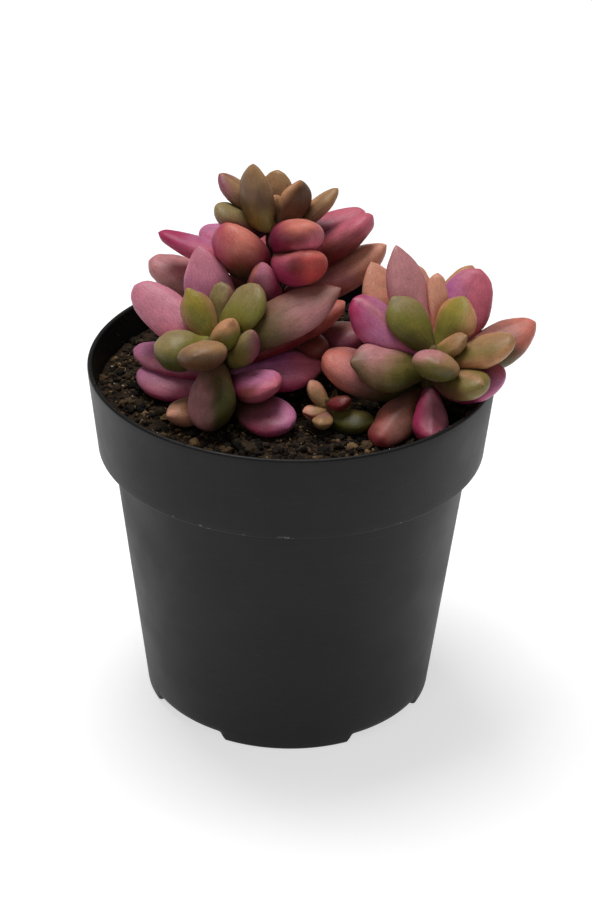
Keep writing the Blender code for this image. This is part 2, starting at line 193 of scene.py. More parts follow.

# One row for each leaf: body colour, patches (colour, where, reach) and, if it has one, the ridge that it
# shows: angle round the leaf (0 at the right margin, 90 on top, 270 below) and strength.
# Lighter patches on a leaf's top and on its ridge are painted highlight from the overhead light; deep green,
# dark bronze
# and dark red patches on the bottom and lower sides are painted shade. Magenta, violet and rose end and
# margin patches are the leaves' own colour.
LOOKS = {
    "rear_leaf_01": ("bronze", [
        ("tan", "top", 0.35), ("mauve", "left", 0.2), ("tan", "ridge", 0.25),
    ], (80, 0.06)),
    "rear_leaf_02": ("bronze", [("grey_olive", "top", 0.45), ("mauve", "bottom", 0.3)], (90, 0.04)),
    "rear_leaf_03": ("dark_bronze", [
        ("bronze", "top", 0.45), ("tan", "tip", 0.2), ("olive", "bottom", 0.3),
    ], (270, 0.05)),
    "rear_leaf_04": ("dark_bronze", [
        ("bronze", "bottom", 0.3), ("orange_tan", "top_left", 0.2),
    ], (270, 0.06)),
    "rear_leaf_05": ("bronze", [("orange_tan", "ridge", 0.5), ("tan", "tip", 0.3)], (90, 0.05)),
    "rear_leaf_06": ("mauve", [
        ("rose", "top", 0.3), ("magenta", "left", 0.3), ("brown_red", "bottom", 0.35),
    ], None),
    "rear_leaf_07": ("brown_red", [
        ("rose", "top", 0.4), ("deep_magenta", "left", 0.4), ("dark_red", "bottom", 0.3),
    ], (90, 0.04)),
    "rear_leaf_08": ("dark_red", [
        ("coral", "top", 0.5), ("deep_magenta", "left", 0.28), ("rose", "bottom_right", 0.25),
    ], None),
    "rear_leaf_09": ("dark_red", [
        ("bright_coral", "right", 0.45), ("rose", "top_left", 0.4),
        ("magenta", "bottom_left", 0.25), ("coral", "top", 0.2),
    ], None),
    "rear_leaf_10": ("dark_red", [
        ("coral", "top", 0.55), ("magenta", "left", 0.2),
        ("deep_magenta", "right", 0.22), ("dark_bronze", "bottom", 0.3),
    ], None),
    "rear_leaf_11": ("rose", [
        ("violet_pink", "top", 0.4), ("magenta", "tip", 0.3), ("coral", "ridge", 0.2),
    ], (270, 0.06)),
    "rear_leaf_12": ("rose", [("violet_pink", "top", 0.3)], None),
    "rear_leaf_13": ("rosy_brown", [
        ("dusty_rose", "top", 0.5), ("bronze", "bottom_right", 0.4),
    ], (60, 0.04)),
    "rear_leaf_14": ("dusty_rose", [
        ("salmon", "top", 0.5), ("peach", "tip", 0.3), ("coral", "bottom", 0.25),
    ], (90, 0.03)),
    "rear_leaf_15": ("pink", [
        ("violet_pink", "left", 0.3), ("coral", "ridge", 0.2), ("magenta", "right", 0.3),
    ], (250, 0.08)),
    "rear_leaf_16": ("brown_red", [("coral", "top", 0.4)], None),
    "rear_leaf_17": ("mauve", [("dark_red", "bottom", 0.3), ("rosy_brown", "top", 0.3)], None),
    "rear_leaf_18": ("rose", [("coral", "top", 0.4)], (270, 0.04)),
    "rear_leaf_19": ("coral", [("rose", "tip", 0.4)], (270, 0.04)),
    "left_leaf_01": ("violet_pink", [
        ("violet", "left", 0.3), ("pink", "top", 0.35), ("rose", "bottom_right", 0.25),
    ], None),
    "left_leaf_02": ("pink", [("rose", "bottom", 0.35)], None),
    "left_leaf_03": ("leaf_green", [("yellow_green", "top", 0.35), ("tan", "margin", 0.25)], (270, 0.05)),
    "left_leaf_04": ("olive", [("grey_olive", "top", 0.35), ("rosy_brown", "right", 0.35)], (270, 0.05)),
    "left_leaf_05": ("leaf_green", [("grey_olive", "top", 0.3)], None),
    "left_leaf_06": ("leaf_green", [
        ("grey_olive", "top_left", 0.4), ("deep_green", "bottom", 0.35),
    ], (95, 0.03)),
    "left_leaf_07": ("bronze", [("tan", "top", 0.4), ("dark_bronze", "bottom", 0.35)], (95, 0.06)),
    "left_leaf_08": ("olive", [("grey_olive", "top", 0.4), ("mauve", "right", 0.25)], (270, 0.05)),
    "left_leaf_09": ("bronze", [
        ("dusty_rose", "right", 0.4), ("deep_green", "bottom_left", 0.4), ("rosy_brown", "top", 0.3),
    ], (90, 0.04)),
    "left_leaf_10": ("dark_red", [("coral", "tip", 0.25)], None),
    "left_leaf_11": ("violet_pink", [
        ("violet", "top", 0.35), ("rose", "right", 0.35), ("magenta", "bottom", 0.2),
    ], (80, 0.05)),
    "left_leaf_12": ("brown_red", [
        ("violet_pink", "top", 0.5), ("deep_magenta", "left", 0.2), ("rose", "bottom_right", 0.3),
    ], (100, 0.08)),
    "left_leaf_13": ("mauve", [
        ("violet_pink", "right", 0.25), ("dark_bronze", "top_left", 0.4), ("magenta", "bottom", 0.12),
    ], None),
    "left_leaf_14": ("deep_green", [("dusty_rose", "left", 0.45), ("bronze", "top", 0.3)], (270, 0.05)),
    "left_leaf_15": ("tan", [("olive", "bottom_right", 0.3), ("peach", "bottom_left", 0.3)], (90, 0.03)),
    "left_leaf_16": ("pink", [("violet_pink", "top", 0.4), ("magenta", "bottom", 0.2)], None),
    "left_leaf_17": ("pink", [("violet_pink", "top", 0.45), ("magenta", "bottom", 0.25)], (90, 0.03)),
    "right_leaf_01": ("leaf_green", [("grey_olive", "top", 0.25), ("deep_green", "bottom", 0.3)], None),
    "right_leaf_02": ("leaf_green", [("yellow_green", "top", 0.3), ("orange_tan", "margin", 0.25)], None),
    "right_leaf_03": ("olive", [
        ("dusty_rose", "top", 0.35), ("tan", "right", 0.35), ("deep_green", "bottom", 0.35),
    ], (90, 0.05)),
    "right_leaf_04": ("olive", [("tan", "top", 0.4), ("orange_tan", "margin", 0.2)], (90, 0.03)),
    "right_leaf_05": ("dark_bronze", [
        ("rosy_brown", "top", 0.45), ("coral", "tip", 0.2), ("deep_green", "bottom", 0.35),
    ], (90, 0.05)),
    "right_leaf_06": ("olive", [
        ("dusty_rose", "top_left", 0.45), ("bronze", "bottom_left", 0.3),
        ("deep_green", "bottom_right", 0.35),
    ], (90, 0.05)),
    "right_leaf_07": ("olive", [("tan", "ridge", 0.4), ("dark_bronze", "bottom_left", 0.3)], (90, 0.05)),
    "right_leaf_08": ("magenta", [("violet_pink", "right", 0.35), ("rose", "top", 0.3)], (90, 0.05)),
    "right_leaf_09": ("rose", [
        ("magenta", "left", 0.35), ("pink", "right", 0.3), ("pink", "ridge", 0.25),
    ], (105, 0.08)),
    "right_leaf_10": ("rosy_brown", [
        ("coral", "left", 0.3), ("dark_red", "bottom_left", 0.2), ("dark_bronze", "right", 0.35),
    ], (90, 0.05)),
    "right_leaf_11": ("rosy_brown", [
        ("dusty_rose", "top_left", 0.5), ("coral", "left", 0.25), ("deep_green", "bottom_right", 0.35),
    ], (90, 0.04)),
    "right_leaf_12": ("violet_pink", [
        ("magenta", "left", 0.22), ("pink", "ridge", 0.35),
        ("rose", "right", 0.35), ("violet", "bottom_right", 0.2),
    ], (95, 0.09)),
    "right_leaf_13": ("coral", [("peach", "top", 0.4), ("orange_tan", "right", 0.25)], (270, 0.03)),
    "right_leaf_14": ("rose", [("dusty_rose", "top", 0.6), ("mauve", "bottom", 0.3)], (270, 0.03)),
    "right_leaf_15": ("coral", [("peach", "top", 0.4)], (270, 0.04)),
    "right_leaf_16": ("coral", [("peach", "top", 0.5)], (270, 0.04)),
    "right_leaf_17": ("violet_pink", [("violet", "left", 0.4), ("rose", "right", 0.45)], None),
    "right_leaf_18": ("coral", [("orange_tan", "top", 0.4)], (270, 0.04)),
    "rear_young_01": ("bronze", [("tan", "top", 0.4)], (270, 0.05)),
    "rear_young_02": ("bronze", [("orange_tan", "top", 0.4), ("tan", "ridge", 0.3)], (270, 0.06)),
    "left_young_01": ("olive", [
        ("orange_tan", "top", 0.5), ("leaf_green", "bottom_right", 0.4),
    ], (270, 0.05)),
    "right_young_01": ("olive", [("orange_tan", "top", 0.4), ("tan", "tip", 0.4)], (90, 0.06)),
    "offset_leaf_01": ("tan", [("peach", "top", 0.3)], (90, 0.05)),
    "offset_leaf_02": ("dark_red", [("brown_red", "top", 0.3)], (90, 0.07)),
    "offset_leaf_03": ("tan", [("peach", "left", 0.4), ("brown_red", "margin", 0.3)], (90, 0.04)),
    "offset_leaf_04": ("tan", [("rosy_brown", "top", 0.3)], (90, 0.04)),
    "offset_leaf_05": ("olive", [("tan", "top", 0.4)], (90, 0.04)),
    "offset_leaf_06": ("deep_green", [("olive", "top", 0.2)], (90, 0.04)),
}
# Leaves with a drawn-out point; the others are blunt.
POINTED = {
    "rear_leaf_11": 0.6,
    "rear_leaf_14": 0.8,
    "rear_leaf_05": 0.6,
    "left_leaf_03": 0.9,
    "left_leaf_09": 1.0,
    "left_leaf_11": 0.7,
    "left_leaf_15": 0.6,
    "right_leaf_06": 0.9,
    "right_leaf_13": 0.9,
    "right_leaf_14": 1.0,
    "right_leaf_18": 0.6,
    "rear_leaf_01": 0.5,
    "rear_leaf_03": 0.7,
    "rear_leaf_04": 0.6,
    "left_leaf_07": 0.9,
    "left_young_01": 0.8,
    "left_leaf_08": 0.5,
    "left_leaf_12": 0.6,
    "right_young_01": 0.7,
    "right_leaf_05": 0.5,
    "offset_leaf_06": 0.8,
    "left_leaf_01": 0.9,
    "right_leaf_01": 0.6,
    "right_leaf_02": 0.5,
}
YOUNG_SLOTS = {"rear": "olive_leaf", "left": "olive_leaf", "right": "tan_leaf", "offset": "tan_leaf"}


# ---------------------------------------------------------------- colours and node helpers

def linear(srgb):
    """A colour of 0 to 255 as linear light, with alpha."""
    values = [c / 255 for c in srgb]
    return tuple(c / 12.92 if c <= 0.04045 else ((c + 0.055) / 1.055) ** 2.4 for c in values) + (1.0,)


def step(low, high, values):
    """A smooth step from 0 at low to 1 at high."""
    t = np.clip((values - low) / (high - low), 0, 1)
    return t * t * (3 - 2 * t)


class Shader:
    """A material's node tree, with short calls for the nodes that this scene uses."""

    def __init__(self, name, roughness, **constants):
        self.material = bpy.data.materials.new(name)
        self.material.use_nodes = True
        self.tree = self.material.node_tree
        self.skin = self.tree.nodes["Principled BSDF"]
        self.skin.inputs["Roughness"].default_value = roughness
        for socket, value in constants.items():
            self.skin.inputs[socket.replace("_", " ")].default_value = value
        self.place = self.node("ShaderNodeTexCoord").outputs["Object"]

    def node(self, kind, **values):
        made = self.tree.nodes.new(kind)
        for key, value in values.items():
            setattr(made, key, value)
        return made

    def link(self, source, target):
        self.tree.links.new(source, target)

    def feed(self, socket, value):
        """Gives an input either a link or a constant."""
        if isinstance(value, bpy.types.NodeSocket):
            self.link(value, socket)
        else:
            socket.default_value = value

    def attribute(self, name, output="Color"):
        return self.node("ShaderNodeAttribute", attribute_name=name).outputs[output]

    def scaled(self, vector, scale):
        mapping = self.node("ShaderNodeMapping")
        mapping.inputs["Scale"].default_value = scale
        self.link(vector, mapping.inputs["Vector"])
        return mapping.outputs["Vector"]

    def noise(self, size, detail=3.0, vector=None, roughness=0.55):
        """Noise with lumps of about this size in metres."""
        texture = self.node("ShaderNodeTexNoise")
        texture.inputs["Scale"].default_value = 1 / size
        texture.inputs["Detail"].default_value = detail
        texture.inputs["Roughness"].default_value = roughness
        self.link(vector or self.place, texture.inputs["Vector"])
        return texture.outputs["Fac"]

    def height(self):
        """The height above the floor, in metres."""
        split = self.node("ShaderNodeSeparateXYZ")
        self.link(self.place, split.inputs[0])
        return split.outputs["Z"]

    def cells(self, size):
        """Distance to the nearest of points scattered about this far apart, in metres."""
        texture = self.node("ShaderNodeTexVoronoi")
        texture.inputs["Scale"].default_value = 1 / size
        self.link(self.place, texture.inputs["Vector"])
        return texture.outputs["Distance"]

    def ranged(self, value, low, high, to_low, to_high):
        mapping = self.node("ShaderNodeMapRange")
        for key, number in zip(("From Min", "From Max", "To Min", "To Max"), (low, high, to_low, to_high)):
            mapping.inputs[key].default_value = number
        self.link(value, mapping.inputs["Value"])
        return mapping.outputs["Result"]

    def mixed(self, factor, first, second, blend="MIX"):
        mix = self.node("ShaderNodeMix", data_type="RGBA", blend_type=blend)
        self.feed(mix.inputs["Factor"], factor)
        self.feed(mix.inputs[6], first)
        self.feed(mix.inputs[7], second)
        return mix.outputs[2]

    def math(self, operation, first, second):
        made = self.node("ShaderNodeMath", operation=operation)
        self.feed(made.inputs[0], first)
        self.feed(made.inputs[1], second)
        return made.outputs[0]

    def bump(self, height, depth, strength):
        made = self.node("ShaderNodeBump")
        made.inputs["Distance"].default_value = depth
        made.inputs["Strength"].default_value = strength
        self.link(height, made.inputs["Height"])
        self.link(made.outputs["Normal"], self.skin.inputs["Normal"])

    def colour(self, source):
        self.link(source, self.skin.inputs["Base Color"])

    def rough(self, source):
        self.link(source, self.skin.inputs["Roughness"])


def leaf_material(slot):
    """Fleshy leaf skin: painted colour, fine grain, faint lengthwise streaks and powdery specks."""
    shader = Shader(
        slot + "_skin",
        0.45,
        Subsurface_Weight=0.10,
        Subsurface_Radius=(1.0, 0.35, 0.2),
        Subsurface_Scale=0.0012,
        Specular_IOR_Level=0.30,
        Sheen_Weight=0.03,
        Sheen_Roughness=0.45,
    )
    painted = shader.attribute("paint")
    along = shader.attribute("grain", "Vector")
    grain = shader.noise(0.00042, 2.0)
    streaks = shader.noise(1.0, 3.0, shader.scaled(along, (350, 1900, 1)))
    mottle = shader.noise(0.0026, 3.0)
    lines = shader.ranged(streaks, 0.3, 0.7, -0.12, 0.10)
    tone = shader.math("ADD", shader.ranged(grain, 0.25, 0.75, 0.84, 1.16), lines)
    tone = shader.math("ADD", tone, shader.ranged(mottle, 0.3, 0.7, -0.09, 0.09))
    toned = shader.mixed(1.0, painted, tone, "MULTIPLY")
    specks = shader.ranged(shader.cells(0.0011), 0.10, 0.06, 0.0, 0.35)
    shader.colour(shader.mixed(specks, toned, linear((214, 196, 186))))
    shader.rough(shader.ranged(grain, 0.2, 0.8, 0.38, 0.54))
    height = shader.math("ADD", grain, shader.math("MULTIPLY", streaks, 0.8))
    shader.bump(height, 0.00010, 0.55)
    return shader.material


def stem_material():
    """Corky green-brown stem skin with rings of old leaf scars."""
    shader = Shader("stem_skin", 0.7, Specular_IOR_Level=0.3)
    patches = shader.noise(0.0022, 4.0)
    grain = shader.noise(0.0005, 3.0)
    base = shader.mixed(shader.ranged(patches, 0.35, 0.65, 0, 1), linear((86, 84, 44)), linear((118, 88, 56)))
    shader.colour(shader.mixed(shader.ranged(grain, 0.4, 0.8, 0, 0.5), base, linear((60, 44, 30))))
    shader.rough(shader.ranged(grain, 0.3, 0.7, 0.6, 0.8))
    shader.bump(shader.math("ADD", patches, grain), 0.0004, 0.6)
    return shader.material


def soil_material():
    """Damp peat: near black, with brown crumbs."""
    shader = Shader("soil_peat", 0.95, Specular_IOR_Level=0.18)
    lumps = shader.noise(0.0030, 5.0)
    grit = shader.noise(0.0007, 4.0)
    base = shader.mixed(shader.ranged(lumps, 0.38, 0.68, 0, 1), linear((20, 15, 11)), linear((60, 46, 32)))
    shader.colour(shader.mixed(shader.ranged(grit, 0.52, 0.74, 0, 0.8), base, linear((84, 65, 44))))
    shader.rough(shader.ranged(grit, 0.3, 0.7, 0.85, 1.0))
    shader.bump(shader.math("ADD", grit, shader.math("MULTIPLY", lumps, 1.5)), 0.0009, 0.9)
    return shader.material


def crumb_material():
    """Loose crumbs, fibres and grains: the colour of each is painted into the mesh."""
    shader = Shader("soil_crumb", 0.92, Specular_IOR_Level=0.2)
    grit = shader.noise(0.0004, 4.0)
    tone = shader.ranged(grit, 0.3, 0.7, 0.6, 1.35)
    shader.colour(shader.mixed(1.0, shader.attribute("paint"), tone, "MULTIPLY"))
    shader.rough(shader.ranged(grit, 0.3, 0.7, 0.8, 1.0))
    shader.bump(grit, 0.0003, 0.8)
    return shader.material


def pot_material():
    """Thin black polypropylene: satin, with fine moulding texture, rubbed streaks and a little soil dust."""
    shader = Shader("pot_plastic", 0.5, Specular_IOR_Level=0.24)
    pores = shader.noise(0.0005, 2.0)
    streaks = shader.noise(1.0, 4.0, shader.scaled(shader.place, (160, 160, 900)))
    smears = shader.noise(0.022, 3.0)
    dust = shader.noise(0.0014, 6.0, roughness=0.7)
    base = shader.mixed(shader.ranged(smears, 0.3, 0.7, 0, 1), linear((11, 10, 11)), linear((18, 17, 17)))
    worn = shader.mixed(shader.ranged(streaks, 0.55, 0.8, 0, 0.35), base, linear((34, 33, 33)))
    dusty = shader.mixed(shader.ranged(dust, 0.66, 0.80, 0, 0.4), worn, linear((96, 88, 78)))
    collar_foot = (POT_HEIGHT - COLLAR_HEIGHT + 0.5) * MM
    edge = shader.math("ABSOLUTE", shader.math("SUBTRACT", shader.height(), collar_foot), 0)
    nicks = shader.ranged(shader.noise(0.0035, 3.0), 0.60, 0.70, 0, 0.55)
    nicks = shader.math("MULTIPLY", nicks, shader.ranged(edge, 0.0004, 0.0001, 0, 1))
    shader.colour(shader.mixed(nicks, dusty, linear((150, 146, 142))))
    shader.rough(shader.ranged(smears, 0.3, 0.7, 0.42, 0.56))
    shader.bump(shader.math("ADD", pores, shader.math("MULTIPLY", streaks, 0.6)), 0.00005, 0.5)
    return shader.material


def floor_material():
    """White paper, lit a little from within so that it stays white round the shadow."""
    glow = PAPER_GLOW
    white = (1, 1, 1, 1)
    shader = Shader("floor_paper", 0.9, Specular_IOR_Level=0.1, Emission_Color=white, Emission_Strength=glow)
    fibre = shader.noise(0.004, 4.0)
    shader.colour(shader.mixed(fibre, linear((196, 196, 196)), linear((200, 200, 200))))
    shader.bump(fibre, 0.00005, 0.2)
    return shader.material


# ---------------------------------------------------------------- mesh helpers

def new_piece(name, points, faces, material, nodes):
    """A smooth mesh piece that rides on the plant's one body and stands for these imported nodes."""
    mesh = bpy.data.meshes.new(name)
    mesh.from_pydata([tuple(p) for p in points], [], faces)
    mesh.update()
    mesh.shade_smooth()
    mesh.materials.append(material)
    piece = bpy.data.objects.new(name, mesh)
    bpy.context.scene.collection.objects.link(piece)
    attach(piece, "root")
    if nodes:
        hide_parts(*nodes)
    return piece


def paint(piece, colours):
    """Stores one linear colour for each vertex."""
    layer = piece.data.color_attributes.new("paint", "FLOAT_COLOR", "POINT")
    layer.data.foreach_set("color", np.asarray(colours, np.float32).reshape(-1))


def store_vectors(piece, vectors, name):
    layer = piece.data.attributes.new(name, "FLOAT_VECTOR", "POINT")
    layer.data.foreach_set("vector", np.asarray(vectors, np.float32).reshape(-1))


def loft_faces(rows, sides):
    """Faces of rings between a base pole, point 0, and a tip pole, the last point."""
    faces = []
    last = 1 + rows * sides
    for j in range(sides):
        k = (j + 1) % sides
        faces.append((0, 1 + k, 1 + j))
        faces.append((last, last - sides + j, last - sides + k))
        for i in range(rows - 1):
            a, b = 1 + i * sides + j, 1 + i * sides + k
            faces.append((a, b, b + sides, a + sides))
    return faces


def natural_spline(knots, values, wanted):
    """A natural cubic spline through rows of values at rising knots, read at the wanted places."""
    count = len(knots)
    gaps = np.diff(knots)
    slopes = np.diff(values, axis=0) / gaps[:, None]
    system = np.eye(count)
    right = np.zeros_like(values)
    for i in range(1, count - 1):
        system[i, i - 1 : i + 2] = gaps[i - 1], 2 * (gaps[i - 1] + gaps[i]), gaps[i]
        right[i] = 6 * (slopes[i] - slopes[i - 1])
    bends = np.linalg.solve(system, right)
    at = np.clip(np.searchsorted(knots, wanted) - 1, 0, count - 2)
    gap = gaps[at][:, None]
    a = (knots[at + 1] - wanted)[:, None] / gap
    b = 1 - a
    straight = a * values[at] + b * values[at + 1]
    return straight + ((a**3 - a) * bends[at] + (b**3 - b) * bends[at + 1]) * gap**2 / 6


def finer_rings(rings, sides):
    """Smooth closed outlines through the points of each ring, keeping their first few waves."""
    spectrum = np.fft.rfft(rings, axis=1)
    spectrum[:, RING_WAVES + 1 :] = 0
    padded = np.zeros((len(rings), sides // 2 + 1, 3), complex)
    padded[:, : spectrum.shape[1]] = spectrum
    return np.fft.irfft(padded, n=sides, axis=1) * (sides / rings.shape[1])


# ---------------------------------------------------------------- leaves

def stem_line(shoot):
    """Root, direction and length of a stem, in metres, in the object's frame."""
    shift = Vector((POT_X, 0, 0))
    root = (Vector(STEMS[shoot]["root"]) + shift) * MM
    tip = (Vector(STEMS[shoot]["tip"]) + shift) * MM
    return root, (tip - root).normalized(), (tip - root).length


def distance_to_stem(point, shoot):
    root, along, length = stem_line(shoot)
    reach = min(max((Vector(point) - root).dot(along), 0), length)
    return (Vector(point) - root - along * reach).length


def packed_rings(node, shoot):
    """A leaf's base, rings and tip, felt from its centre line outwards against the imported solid."""
    mesh = frame["nodes"][node].data
    tree = BVHTree.FromPolygons([v.co for v in mesh.vertices], [tuple(f.vertices) for f in mesh.polygons])
    base = min((v.co for v in mesh.vertices), key=lambda p: distance_to_stem(p, shoot))
    tip = max((v.co for v in mesh.vertices), key=lambda p: (p - base).length)
    ahead = (tip - base).normalized()
    along = stem_line(shoot)[1]
    upper = (along - ahead * along.dot(ahead)).normalized()
    across = upper.cross(ahead)
    rings = []
    for t in STATIONS:
        centre = base.lerp(tip, t)
        ring = []
        for j in range(FELT_SIDES):
            angle = 2 * math.pi * j / FELT_SIDES
            outwards = across * math.cos(angle) + upper * math.sin(angle)
            ring.append(tree.ray_cast(centre, outwards)[0] or centre)
        rings.append(ring)
    shape = np.array(rings)
    spans = (shape - np.roll(shape, FELT_SIDES // 2, axis=1))[2:6].mean(0)
    lean = [span.dot(across) * np.linalg.norm(span) for span in spans]
    return np.array(base - ahead * ROOT_REACH), np.roll(shape, -int(np.argmax(lean)), axis=1), np.array(tip)


def nominal_rings(shoot, row):
    """A young leaf's rings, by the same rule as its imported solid."""
    at, heading, pitch, length, width, depth, roll = row
    root, along, stem_length = stem_line(shoot)
    low, high = STEMS[shoot]["radii"]
    h, p = math.radians(heading), math.radians(pitch)
    ahead = Vector((math.cos(h) * math.cos(p), math.sin(h) * math.cos(p), math.sin(p)))
    upper = (along - ahead * along.dot(ahead)).normalized()
    upper = Matrix.Rotation(math.radians(roll), 3, ahead) @ upper
    across = upper.cross(ahead)
    sideways = (ahead - along * ahead.dot(along)).normalized()
    inset = low + (high - low) * at * MM / stem_length - high
    base = root + along * at * MM + sideways * inset * MM
    half = CURL / 2

    def middle(t):
        rise = (math.cos(half * (2 * t - 1)) - math.cos(half)) / (2 * math.sin(half))
        run = (math.sin(half * (2 * t - 1)) + math.sin(half)) / (2 * math.sin(half))
        return base + (ahead * run - upper * rise) * length * MM

    rings = []
    for t, w, d in zip(STATIONS, WIDTHS, DEPTHS):
        ring = []
        for j in range(FELT_SIDES):
            angle = 2 * math.pi * j / FELT_SIDES
            share = UPPER_SHARE if math.sin(angle) > 0 else 1 - UPPER_SHARE
            offset = across * (math.cos(angle) * width * w / 2)
            offset += upper * (math.sin(angle) * depth * d * share)
            ring.append(middle(t) + offset * MM)
        rings.append(ring)
    return np.array(base), np.array(rings), np.array(middle(1.0))


def leaf_skin(base, rings, tip):
    """Fine rows of a leaf and, for each, how far along it lies: smooth round the leaf and along it."""
    sides = finer_rings(rings, LEAF_SIDES)
    stack = np.concatenate([np.tile(base, (1, LEAF_SIDES, 1)), sides, np.tile(tip, (1, LEAF_SIDES, 1))])
    steps = np.linalg.norm(np.diff(stack, axis=0), axis=2).mean(1)
    knots = np.concatenate([[0], np.cumsum(steps)])
    knots /= knots[-1]
    wanted = (1 - np.cos(np.pi * np.arange(LEAF_ROWS + 2) / (LEAF_ROWS + 1))) / 2
    fine = natural_spline(knots, stack.reshape(len(stack), -1), wanted).reshape(-1, LEAF_SIDES, 3)
    return fine, wanted


def ridge_factor(theta, angle, strength, width=26):
    """How far a rounded ridge at one angle lifts the outline: up on it, a little down on both sides."""
    off = (np.degrees(theta) - angle + 180) % 360 - 180
    return strength * (np.exp(-((off / width) ** 2)) - 0.45 * np.exp(-(((np.abs(off) - 50) / 30) ** 2)))


def shape_leaf(fine, u, ridge, point, seed):
    """Gives a smooth leaf crisper margins, a ridge, a drawn-out tip and slight unevenness."""
    theta = 2 * np.pi * np.arange(LEAF_SIDES) / LEAF_SIDES
    centre = fine.mean(1, keepdims=True)
    length = np.linalg.norm(fine[-1, 0] - fine[0, 0])
    margins = ridge_factor(theta, 0, 0.035) + ridge_factor(theta, 180, 0.035)
    lift = margins + ridge_factor(theta, 270, 0.03, 34)
    if ridge:
        lift = lift + ridge_factor(theta, ridge[0], ridge[1], 20)
    strength = step(0.15, 0.6, u)[:, None, None]
    fine = centre + (fine - centre) * (1 + lift[None, :, None] * strength)
    fuller = np.interp(u, *zip(*BASE_FULLNESS)) + (1 - point) * np.interp(u, *zip(*TIP_FULLNESS))
    fine = centre + (fine - centre) * (1 + fuller[:, None, None])
    away = fine - centre
    outwards = away / (np.linalg.norm(away, axis=2, keepdims=True) + 1e-9)
    fine = fine + outwards * SWELL * step(0, 0.1, u * (1 - u) * 2)[:, None, None]
    close = step(SHARPEN_FROM, 1.0, u)[:, None, None]
    ahead = (fine[-1, 0] - fine[len(fine) // 2].mean(0))
    ahead /= np.linalg.norm(ahead)
    fine = fine + ahead * (close**3 * (0.15 + 0.9 * point) * MM)
    size = 0.006 * MM * (length / MM)
    for i in range(1, len(fine) - 1):
        for j in range(LEAF_SIDES):
            place = Vector(fine[i, j] / MM * 0.28) + Vector((seed, seed * 0.7, 0))
            away = fine[i, j] - centre[i, 0]
            fine[i, j] += away / (np.linalg.norm(away) + 1e-9) * size * noise.noise(place)
    return fine, length


def leaf_points(fine):
    return np.concatenate([fine[0, :1], fine[1:-1].reshape(-1, 3), fine[-1, :1]])


def patch_weight(where, reach, points, u, theta, ridge, wobble):
    """From 0 to 1, how much of a patch's colour a point takes."""
    if where in SIDES:
        direction = np.array(SIDES[where])
        values = points @ direction
        low, high = values.min(), values.max()
        place = (values - low) / (high - low) * 2 - 1
        edge = 1 - 2 * reach
    elif where == "tip":
        place, edge = u * 2 - 1, 1 - 2 * reach
    else:
        angle = {"margin": 0.0, "ridge": math.radians(ridge[0]) if ridge else math.pi / 2}[where]
        close = np.cos(theta - angle)
        place = np.abs(close) if where == "margin" else close
        place, edge = np.arccos(np.clip(place, -1, 1)) / np.pi * -4 + 1, 1 - 2 * reach
    return step(edge - PATCH_SOFTNESS, edge + PATCH_SOFTNESS, place + wobble * 0.22)


def paint_leaf(piece, name, points, u, theta, ridge, seed):
    """Paints the body colour, then each patch over it, with soft uneven borders, painted highlight and
    painted shade among them.
    """
    body, patches, _ = LOOKS[name]
    wobble = np.array([noise.noise(Vector(p / MM * 0.35) + Vector((0, seed, 0))) for p in points])
    colours = np.tile(np.array(linear(PALETTE[body])), (len(points), 1))
    for colour, where, reach in patches:
        weight = patch_weight(where, reach, points, u, theta, ridge, wobble)[:, None]
        colours = colours * (1 - weight) + np.array(linear(PALETTE[colour])) * weight
    paint(piece, colours)


def make_leaf(name, rings, material, node):
    """One leaf's piece, from its base, rings and tip."""
    base, middle, tip = rings
    seed = sum(ord(c) * (i + 1) for i, c in enumerate(name)) % 97
    ridge = LOOKS[name][2]
    fine, u = leaf_skin(base, middle, tip)
    fine, length = shape_leaf(fine, u, ridge, POINTED.get(name, 0.25), seed)
    points = leaf_points(fine)
    faces = loft_faces(LEAF_ROWS, LEAF_SIDES)
    piece = new_piece(name.replace("leaf", "leaf_skin"), points, faces, material, [node])
    theta = np.tile(2 * np.pi * np.arange(LEAF_SIDES) / LEAF_SIDES, LEAF_ROWS)
    theta = np.concatenate([[0], theta, [0]])
    reach = np.concatenate([[0], np.repeat(u[1:-1], LEAF_SIDES), [1]])
    paint_leaf(piece, name, points, reach, theta, ridge, seed)
    width = np.linalg.norm(fine - fine.mean(1, keepdims=True), axis=2).max()
    grain = [reach * length, np.sin(theta) * width, np.cos(theta) * width + seed]
    store_vectors(piece, np.stack(grain, 1), "grain")


def make_leaves(materials):
    """All packed leaves, then the young ones."""
    slots = {part["node"]: part["material_slot"] for part in frame["record"]["subparts"]}
    for name in sorted(frame["nodes"]):
        if "_leaf_" in name:
            shoot = name.split("_")[0]
            slot = slots[name]
            make_leaf(name, packed_rings(name, shoot), materials[slot], name)
    for name, (shoot, row) in YOUNG_LEAVES.items():
        slot = YOUNG_SLOTS[shoot]
        make_leaf(name, nominal_rings(shoot, row), materials[slot], STEMS[shoot]["node"])


# ---------------------------------------------------------------- stems

